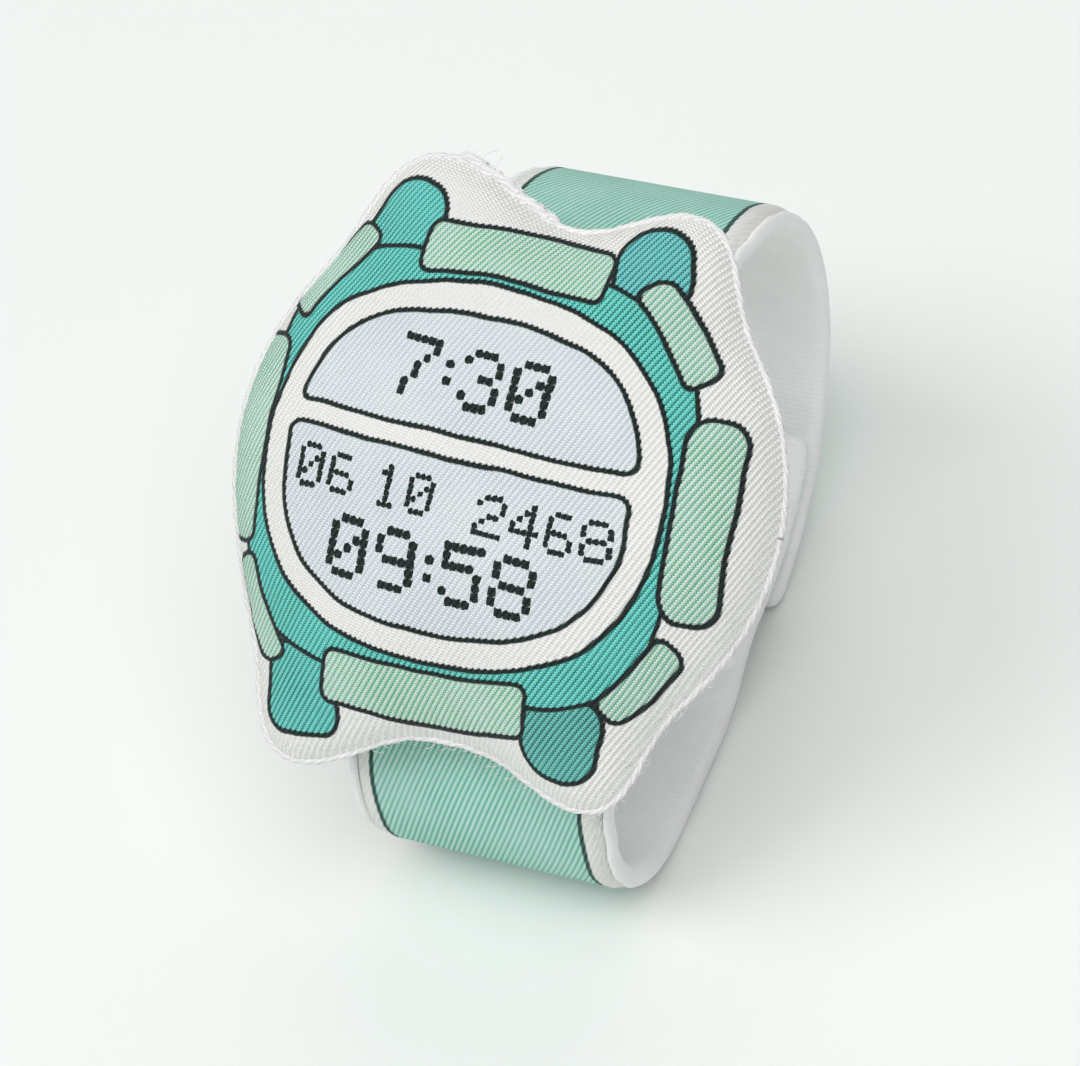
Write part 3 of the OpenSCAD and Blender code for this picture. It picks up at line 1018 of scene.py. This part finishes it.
def strap_at(distance):
    """The outer surface and its outward normal at a distance along the band."""
    left = min(max(distance, 0.0), strap_length)
    for run in STRAP_RUNS:
        if left <= run["length"] or run is STRAP_RUNS[-1]:
            break
        left -= run["length"]
    share = min(left / run["length"], 1.0)
    if "r" in run:
        a = math.radians(run["first"] + (run["last"] - run["first"]) * share)
        normal = np.array([math.cos(a), math.sin(a)])
        return run["centre"] + run["r"] * normal, normal
    a = math.radians(run["first"])
    return run["start"] + (run["end"] - run["start"]) * share, np.array([math.cos(a), math.sin(a)])


def distance_of(joint):
    """Where a hinge lies along the band."""
    target = np.array([joint_at[joint].y + middle_y, joint_at[joint].z])
    tries = np.arange(0, strap_length, SEARCH_STEP)
    gaps = [np.linalg.norm(strap_at(d)[0] - target) for d in tries]
    return float(tries[int(np.argmin(gaps))])


hinge_order = ["tab_peel", "upper_3_bend", "upper_2_bend", "strap_open",
               "lower_1_bend", "lower_2_bend", "lower_3_bend", "lower_4_bend"]
hinge_at = [distance_of(j) for j in hinge_order]
print("Strap", round(strap_length, 1), "mm long, hinges at", [round(h, 1) for h in hinge_at])

# %% [markdown]
# Each layer's section is a middle line across the band with a thickness. The cover is a flat strip whose
# edges tuck down into a groove. The padding is a plain strip. The lining comes round both sides as a soft
# roll, which is the pale rim beside the cover in the photograph.

# %% Layer sections
SECTION_STEPS = 44
LEAST_HALF = 0.01
COVER_HALF = 13.95
COVER_HALF_T = 0.30
TUCK_W = 1.5
TUCK_DEPTH = 0.75
CORE_INSET = 0.6
CORE_DEPTH = 1.06
CORE_HALF_T = 0.38
ROLL_X = 14.5
ROLL_R = 0.7
ROLL_TOP = 1.5
ROLL_STEPS = 6
INNER_DEPTH = 2.2
INNER_HALF_T = 0.70
INNER_STEPS = 14
# Down the lining's upright edge: depth and half thickness
LINING_EDGE = [(0.48, 0.02), (0.52, 0.18), (0.65, 0.33), (0.85, 0.43), (1.1, 0.48), (1.4, 0.52)]


def round_ended(x, reach, half_t, radius):
    """Half thicknesses across a strip with two rounded edges."""
    end = np.clip((reach - np.abs(x)) / radius, 0, 1)
    return half_t * np.sqrt(1 - (1 - end) ** 2) + LEAST_HALF


def cover_section():
    x = np.linspace(-COVER_HALF, COVER_HALF, SECTION_STEPS)
    tuck = np.clip((np.abs(x) - COVER_HALF + TUCK_W) / TUCK_W, 0, 1)
    depth = COVER_HALF_T + TUCK_DEPTH * tuck ** 2
    return x, depth, round_ended(x, COVER_HALF, COVER_HALF_T, 0.3)


def core_section():
    reach = COVER_HALF - CORE_INSET
    x = np.linspace(-reach, reach, SECTION_STEPS)
    return x, np.full_like(x, CORE_DEPTH), round_ended(x, reach, CORE_HALF_T, 0.4)


def lining_section():
    edge_depth, edge_half = np.array(LINING_EDGE).T
    roll = np.radians(np.linspace(20, 90, ROLL_STEPS))
    roll_x = ROLL_X - ROLL_R * (1 - np.cos(roll))
    roll_depth = ROLL_TOP + ROLL_R * np.sin(roll)
    roll_half = np.linspace(0.55, INNER_HALF_T, ROLL_STEPS)
    inner_x = np.linspace(ROLL_X - 1.1, 0, INNER_STEPS)
    x = np.concatenate([np.full(len(LINING_EDGE), ROLL_X), roll_x, inner_x])
    depth = np.concatenate([edge_depth, roll_depth, np.full(INNER_STEPS, INNER_DEPTH)])
    half = np.concatenate([edge_half, roll_half, np.full(INNER_STEPS, INNER_HALF_T)])
    both_sides = ((-x, x), (depth, depth), (half, half))
    return [np.concatenate([left, right[-2::-1]]) for left, right in both_sides]


def section_sides(section):
    """Both faces of a layer, offset from its middle line, as points across and down."""
    x, depth, half = section
    along = np.column_stack([np.gradient(x), np.gradient(depth)])
    along /= np.linalg.norm(along, axis=1)[:, None]
    across = np.column_stack([along[:, 1], -along[:, 0]])
    line = np.column_stack([x, depth])
    run = np.concatenate([[0], np.cumsum(np.linalg.norm(np.diff(line, axis=0), axis=1))])
    return line + across * half[:, None], line - across * half[:, None], run - run[-1] / 2


# %% [markdown]
# A cloth strap bends all along its length, but the frame bends it at eight hinges. So every layer is cut
# halfway between hinges, into one length round each hinge.

# %% Strap layers
RING_STEP = 0.7
LEAST_RINGS = 8
BLEND_REACH = 4.5
END_ROUND = 3.2
END_THIN = 0.35
END_NARROW = 0.93
EDGE_FROM = 11.0
EDGE_W = 3.0
STRAP_SWAY = (0.55, 0.21, 1.3)
SIDE_SWAY = 0.004
DEPTH_SWAY = 0.10
LAYERS = [
    ("cover", cover_section(), cover_material, "strap_cover"),
    ("core", core_section(), padding_material, "strap_core"),
    ("lining", lining_section(), velour_material, "strap_lining"),
]
END_INSET = {"cover": 0.4, "core": 1.4, "lining": 0.0}
END_TUCK = {"cover": 0.9, "core": 0.1, "lining": 0.0}
bodies_in_order = ["closure_tab", "upper_3", "upper_2", "upper_1", "head",
                   "lower_1", "lower_2", "lower_3", "lower_4"]
head_place = bodies_in_order.index("head")
node_prefix = {"closure_tab": "tab", "head": "head_strap"}
cuts = [0.0] + [(a + b) / 2 for a, b in zip(hinge_at, hinge_at[1:])] + [strap_length]


def ring_at(distance, side, waver):
    """One face of a layer at a distance along the band, as metres in the frame."""
    place, normal = strap_at(distance)
    edge = np.clip((np.abs(side[:, 0]) - EDGE_FROM) / EDGE_W, 0, 1)
    x = side[:, 0] * (1 + SIDE_SWAY * waver * edge)
    depth = side[:, 1] + DEPTH_SWAY * waver * edge ** 2
    return np.column_stack([x, place[0] - middle_y - depth * normal[0], place[1] - depth * normal[1]]) * MM


def end_share(distance):
    """1 along the band, falling to a round end at the tip of the tab and the end of the lap."""
    near = min(distance, strap_length - distance)
    return math.sqrt(max(1 - max(1 - near / END_ROUND, 0) ** 2, 0.0))


def band_faces(rings, width):
    """The faces of a band whose rings have two sides of this many points, with both ends closed."""
    ring = 2 * width
    faces = tube_faces(rings, ring, False)
    for base in (0, (rings - 1) * ring):
        top = base + ring - 1
        faces += [(base + i, base + i + 1, top - 1 - i, top - i) for i in range(width - 1)]
    return faces


def make_layer(layer, section, material, index):
    first, last = cuts[index], cuts[index + 1]
    if index == 0:
        first += END_INSET[layer]
    if index == len(hinge_at) - 1:
        last -= END_INSET[layer]
    count = max(int((last - first) / RING_STEP), LEAST_RINGS)
    outer, inner, run = section_sides(section)
    width = len(run)
    points, flat = [], []
    for d in np.linspace(first, last, count):
        waver = sway(d, STRAP_SWAY, 0.5)
        share = end_share(d)
        sides = []
        for face in (outer, inner):
            depth = STRAP_T / 2 + (face[:, 1] - STRAP_T / 2) * (END_THIN + (1 - END_THIN) * share)
            depth = depth + END_TUCK[layer] * (1 - share)
            x = face[:, 0] * (END_NARROW + (1 - END_NARROW) * share)
            sides.append(np.column_stack([x, depth]))
        points += [ring_at(d, sides[0], waver), ring_at(d, sides[1], waver)[::-1]]
        flat += [np.column_stack([line, np.full(width, d)]) for line in (run, run[::-1])]
    faces = band_faces(count, width)
    before, after = bodies_in_order[index], bodies_in_order[index + 1]
    start, end = hinge_at[index] - BLEND_REACH, hinge_at[index] + BLEND_REACH
    if index < head_place:
        before, after, start, end = after, before, end, start
    stood_for = [f"{node_prefix.get(after, after)}_{layer}"]
    if index == head_place:
        stood_for.append(f"head_strap_{layer}")
    piece = make_piece(f"strap_{layer}_{after}", np.vstack(points), faces, cloth=np.vstack(flat))
    face_outwards(piece)
    dress(piece, material, replaces=stood_for)
    ends = [(0.0, *(strap_at(d)[0] - [middle_y, 0]) * MM) for d in (start, end)]
    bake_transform(piece)
    flat_size = ((run[-1] - run[0]) * MM, (last - first) * MM)
    return piece


for layer, section, material, slot in LAYERS:
    made = [make_layer(layer, section, material, i) for i in range(len(hinge_at))]
    print(layer, len(made), "lengths,", sum(len(p.data.polygons) for p in made), "faces")

# %% [markdown]
# Sewing thread is a thin round cord, so each thread is a smooth curve with a round bevel, turned into a
# mesh. The gap through which the head was turned and stuffed is closed by hand: two folded lips lie side
# by side along the flank of one ear, and an overcast thread winds round both.


# %% Closed turning gap
def make_threads(name, paths, radius, body, replaces=()):
    """Round cords through lists of frame points in metres."""
    curve = bpy.data.curves.new(name, "CURVE")
    curve.dimensions = "3D"
    curve.bevel_depth = radius * MM
    curve.bevel_resolution = 1
    curve.use_fill_caps = True
    for path in paths:
        spline = curve.splines.new("NURBS")
        spline.points.add(len(path) - 1)
        for point, place in zip(spline.points, path):
            point.co = (*place, 1.0)
        spline.order_u = 3
        spline.resolution_u = 3
        spline.use_endpoint_u = True
    thread = bpy.data.objects.new(name, curve)
    bpy.context.scene.collection.objects.link(thread)
    select_only(thread)
    bpy.ops.object.convert(target="MESH")
    return dress(bpy.context.object, thread_material, body, replaces)


GAP_FROM = 91.0
GAP_TO = 108.0
GAP_STITCHES = 7
GAP_THREAD_R = 0.08
LIP_PAST = 3
LIP_STEPS = 70
LIP_RUN = 12.0
LIP_OUT = 0.35
LIP_HALF = 0.5
LIP_T = 0.16
LIP_SIDES = 10
WIND_STEPS = 10
WIND_OUT = 0.30
WIND_REACH = 0.60
WIND_HEIGHT = 0.50


def outward_at(degrees):
    """The direction out of the head's edge, in its seam plane."""
    along = outline_at(degrees + 0.5) - outline_at(degrees - 0.5)
    out = np.column_stack([along[:, 1], -along[:, 0]])
    return out / np.linalg.norm(out, axis=1)[:, None]


def make_lip(name, height, phase):
    angles = np.linspace(GAP_FROM - LIP_PAST, GAP_TO + LIP_PAST, LIP_STEPS)
    along = np.linspace(0, 1, len(angles))
    taper = np.clip(np.sin(math.pi * along) * 3.5, 0.12, 1)
    bumps = np.sin(23 * along + phase) * 0.14 + np.sin(57 * along + 2 * phase) * 0.07
    out = outward_at(angles)
    middle = outline_at(angles, 0.5) + out * (LIP_OUT * taper + bumps)[:, None]
    points = []
    for k in range(LIP_SIDES):
        around = FULL_TURN * k / LIP_SIDES
        side = middle + out * (LIP_HALF * taper * math.cos(around))[:, None]
        z = height * taper + 0.5 * bumps + LIP_T * taper * math.sin(around) - SEAM_DROP
        points.append(np.column_stack([side, z]))
    points = np.stack(points, axis=1).reshape(-1, 3)
    run = np.repeat(along * LIP_RUN, LIP_SIDES)
    flat = np.column_stack([run, np.tile(np.arange(LIP_SIDES) * 0.3, len(angles))])
    faces = tube_faces(len(angles), LIP_SIDES, False)
    faces += [tuple(range(LIP_SIDES)), tuple(range(len(points) - LIP_SIDES, len(points)))]
    lip = make_piece(name, on_head(points), faces, cloth=flat)
    face_outwards(lip)
    return dress(lip, seam_material, "head")


make_lip("turning_gap_front_lip", 0.30, 0.4)
make_lip("turning_gap_back_lip", -0.26, 2.0)
turn = np.linspace(0, GAP_STITCHES, GAP_STITCHES * WIND_STEPS + 1)
gap_angles = GAP_FROM + (GAP_TO - GAP_FROM) * turn / GAP_STITCHES
reach_out = WIND_OUT + WIND_REACH * np.cos(FULL_TURN * turn)
wind = outline_at(gap_angles, 0.45) + outward_at(gap_angles) * reach_out[:, None]
overcast = on_head(np.column_stack([wind, WIND_HEIGHT * np.sin(FULL_TURN * turn) - SEAM_DROP]))
make_threads("gap_overcast_thread", [overcast], GAP_THREAD_R, "head", ["closing_stitches"])
print("Turning gap closed with", GAP_STITCHES, "stitches")

# %% [markdown]
# Cut twill frays. A few loose fibres stick out of the edge, longest at the ear beside the turning gap
# and in a short fringe along the lower right edge.

# %% Loose fibres
FIBRE_R = 0.028
# Each fringe: first angle, last angle, count and length of its fibres
FRAYS = [(103, 112, 4, 2.6), (252, 288, 12, 1.1), (296, 336, 34, 0.7), (20, 60, 10, 0.5)]


def fibre(degrees, length, seed):
    angle = np.array([degrees])
    start = outline_at(angle, 0.25)[0]
    out = outward_at(angle)[0]
    along = np.array([-out[1], out[0]])
    lean = 1.1 * math.sin(seed * 12.9)
    lift = 0.7 * math.sin(seed * 7.3)
    path = []
    for t in np.linspace(0, 1, 6):
        flat = start + out * length * t * (1 - 0.3 * t) + along * length * lean * t * t
        path.append((flat[0], flat[1], length * lift * t * t - SEAM_DROP))
    return on_head(np.array(path))


fibres = []
for first, last, count, length in FRAYS:
    for i in range(count):
        uneven = 0.5 + 0.5 * math.sin(5.1 * i + first)
        degrees = first + (last - first) * (i + 0.6 * uneven) / count
        fibres.append(fibre(degrees, length * (0.4 + 0.8 * uneven), i + first))
make_threads("loose_fibres", fibres, FIBRE_R, "head")
print(len(fibres), "loose fibres")

# %% [markdown]
# The head is held to the strap by two rows of running stitches under it. The thread dips into the strap
# and comes up through the back panel, one dip for each stitch.

# %% Tack stitches
TACK_COUNT = 5
TACK_LEN = 16.0
TACK_X = 9.0
TACK_R = 0.2
# One stitch: shares of the pitch along the row, and heights over the strap
TACK_WAVE = [(-0.45, -0.70), (-0.2, 0.0), (-0.1, 0.4), (0.1, 0.4), (0.2, 0.0), (0.45, -0.70)]


def tack_row(x):
    pitch = TACK_LEN / (TACK_COUNT - 1)
    path = []
    for i in range(TACK_COUNT):
        middle = -TACK_LEN / 2 + pitch * i - HEAD_SHIFT / 2
        path += [(x, middle + pitch * along, -SEAM_H + out) for along, out in TACK_WAVE]
    return on_head(np.array(path))


make_threads("tack_thread", [tack_row(-TACK_X), tack_row(TACK_X)], TACK_R, "head", ["tack_stitches"])
print("Tack stitches:", 2 * TACK_COUNT)

# %% [markdown]
# The strap closes with hook and loop tape: rows of tiny plastic hooks under the tab, and a brushed field of
# loops on the lap. Each tape is a thin woven strip bent to its radius. One hook and one loop are
# modelled as bent threads of a few faces each, and copied over the tape in slightly uneven rows.

# %% Hook and loop tapes
PATCH_W = 22.0
PATCH_MIDDLE = -60.5
PATCH_SPAN = 19.04
TAPE_T = 0.34
TAPE_EDGE_R = 0.5
TAPE_RINGS = 28
PILE_PITCH = 1.1
PILE_INSET = 0.9
PILE_STRAY = 0.16
PILE_SINK = 0.03
HOOK_BASE_R = 26.05
LOOP_BASE_R = 24.30
HOOK_PATH = [(0, 0, 0), (0, 0, 0.20), (0.04, 0, 0.32), (0.13, 0, 0.38), (0.21, 0, 0.33), (0.22, 0, 0.25)]
LOOP_PATH = [(-0.22, 0, 0), (-0.19, 0.02, 0.22), (0, 0.05, 0.34), (0.19, 0.02, 0.22), (0.22, 0, 0)]


def on_bend(x, degrees, r):
    """Places round the 12 o'clock bend, as metres in the frame."""
    a = np.radians(degrees)
    return np.column_stack([x, upper_c[0] - middle_y + r * np.cos(a), upper_c[1] + r * np.sin(a)]) * MM


def make_tape(name, base_r, side, material, body, node):
    x = np.linspace(-PATCH_W / 2, PATCH_W / 2, 23)
    half = round_ended(x, PATCH_W / 2, TAPE_T / 2, TAPE_EDGE_R)
    middle = base_r + side * (TAPE_T / 2 + LEAST_HALF)
    angles = np.linspace(PATCH_MIDDLE - PATCH_SPAN, PATCH_MIDDLE + PATCH_SPAN, TAPE_RINGS)
    points = []
    for a in angles:
        ripple = 0.02 * math.sin(a * 2.1)
        points += [on_bend(x, np.full_like(x, a), middle + ripple + half)]
        points += [on_bend(x, np.full_like(x, a), middle + ripple - half)[::-1]]
    tape = make_piece(name, np.vstack(points), band_faces(len(angles), len(x)))
    face_outwards(tape)
    dress(tape, material, body, [node])


def make_pile(name, shape, thickness, base_r, side, material, body):
    """Copies one bent thread over a tape."""
    line = np.array(shape, float)
    step = np.gradient(line, axis=0)
    step /= np.linalg.norm(step, axis=1)[:, None]
    across = np.cross(step, [0.0, 1.0, 0.0])
    corners = [(1, 0), (0, 1), (-1, 0), (0, -1)]
    one = np.stack([line + thickness * (c * across + d * np.array([0, 1, 0])) for c, d in corners], axis=1)
    one = one.reshape(-1, 3)
    one_faces = tube_faces(len(line), 4, False) + [(3, 2, 1, 0), tuple(len(one) - 4 + k for k in range(4))]
    reach = math.radians(PATCH_SPAN) * base_r - PILE_INSET
    rows = int(2 * reach / PILE_PITCH)
    columns = int((PATCH_W - 2 * PILE_INSET) / PILE_PITCH)
    points, faces = [], []
    for i in range(rows):
        for j in range(columns):
            seed = i * 7.7 + j * 3.1
            x = (j - (columns - 1) / 2) * PILE_PITCH + PILE_STRAY * math.sin(seed) + one[:, 0]
            along = (i - (rows - 1) / 2) * PILE_PITCH + PILE_STRAY * math.sin(seed * 1.7) + one[:, 1]
            r = base_r + side * (TAPE_T - PILE_SINK + one[:, 2])
            faces += [tuple(k + len(points) * len(one) for k in f) for f in one_faces]
            points.append(on_bend(x, PATCH_MIDDLE + np.degrees(along / base_r), r))
    pile = make_piece(name, np.vstack(points), faces)
    face_outwards(pile)
    dress(pile, material, body)
    print(name, rows * columns, "copies of", len(one_faces), "faces")


make_tape("hook_tape", HOOK_BASE_R, -1, hook_material, "closure_tab", "hook_patch")
make_tape("loop_tape", LOOP_BASE_R, 1, loop_material, "lower_4", "loop_patch")
make_pile("hook_field", HOOK_PATH, 0.05, HOOK_BASE_R, -1, hook_material, "closure_tab")
make_pile("loop_field", LOOP_PATH, 0.035, LOOP_BASE_R, 1, loop_material, "lower_4")

# %% [markdown]
# Both tapes are sewn on along their long sides with a machine's running stitch, which lies on the tape and
# dips through it between stitches.

# %% Tape stitches
STITCH_INSET = 1.5
STITCH_R = 0.13
TAPE_STITCHES = 7
STITCH_WAVE = [
    (0.06, -0.45), (0.14, -0.05), (0.26, 0.10), (0.5, 0.12), (0.74, 0.10), (0.86, -0.05), (0.94, -0.45),
]


def tape_stitches(name, node, base_r, side, body):
    paths = []
    pitch = 2 * PATCH_SPAN / TAPE_STITCHES
    for x in (-PATCH_W / 2 + STITCH_INSET, PATCH_W / 2 - STITCH_INSET):
        wave_at = [(PATCH_MIDDLE - PATCH_SPAN + pitch * (i + t), base_r + side * (TAPE_T + up))
                   for i in range(TAPE_STITCHES) for t, up in STITCH_WAVE]
        degrees, r = np.array(wave_at).T
        paths.append(on_bend(np.full_like(r, x), degrees, r))
    make_threads(name, paths, STITCH_R, body, [node])


tape_stitches("hook_tape_thread", "hook_stitches", HOOK_BASE_R, -1, "closure_tab")
tape_stitches("loop_tape_thread", "loop_stitches", LOOP_BASE_R, 1, "lower_4")
print("Tape stitches:", 4 * TAPE_STITCHES)

# %% [markdown]
# The photograph was taken in soft light from above, with the strongest light from the front left, so the
# shadow lies close beside the strap on the right. Three large lamps far away and a dim sky do the same,
# at a plain level at which colours come out about as they are written.

# %% Floor and light
FLOOR_SIZE = 8
FLOOR_COLOUR = (0.88, 0.90, 0.88, 1.0)
SKY_COLOUR = (0.97, 1.0, 0.98, 1.0)
SKY_LEVEL = 0.25

bpy.ops.object.select_all(action="DESELECT")
bpy.ops.mesh.primitive_plane_add(size=FLOOR_SIZE)
floor = bpy.context.object
floor.name = "floor"
floor_material, _, floor_shader = new_material("pale_floor", 0.9, 0.0)
floor_shader.inputs["Base Color"].default_value = FLOOR_COLOUR
floor.data.materials.append(floor_material)

LAMP_DISTANCE = 2.5
# Each lamp: name, azimuth and elevation in degrees, size in metres, and level
LAMPS = [
    ("front_left_softbox", 230, 54, 1.5, 0.66),
    ("top_softbox", 305, 64, 1.9, 0.80),
    ("back_softbox", 95, 58, 1.9, 0.28),
]
UNIT_LAMP_W = 37.0
for name, azimuth, elevation, size, level in LAMPS:
    a, e = math.radians(azimuth), math.radians(elevation)
    direction = Vector((math.cos(e) * math.cos(a), math.cos(e) * math.sin(a), math.sin(e)))
    bpy.ops.object.light_add(type="AREA", location=view_target + direction * LAMP_DISTANCE)
    lamp = bpy.context.object
    lamp.name = name
    lamp.data.shape = "DISK"
    lamp.data.size = size
    lamp.data.energy = UNIT_LAMP_W * level
    lamp.rotation_mode = "QUATERNION"
    lamp.rotation_quaternion = direction.to_track_quat("Z", "Y")
    print(name, round(lamp.data.energy, 1), "W")

sky = bpy.data.worlds.new("soft_sky")
sky.use_nodes = True
sky.node_tree.nodes["Background"].inputs["Color"].default_value = SKY_COLOUR
sky.node_tree.nodes["Background"].inputs["Strength"].default_value = SKY_LEVEL
bpy.context.scene.world = sky
bpy.context.scene.view_settings.view_transform = "Standard"
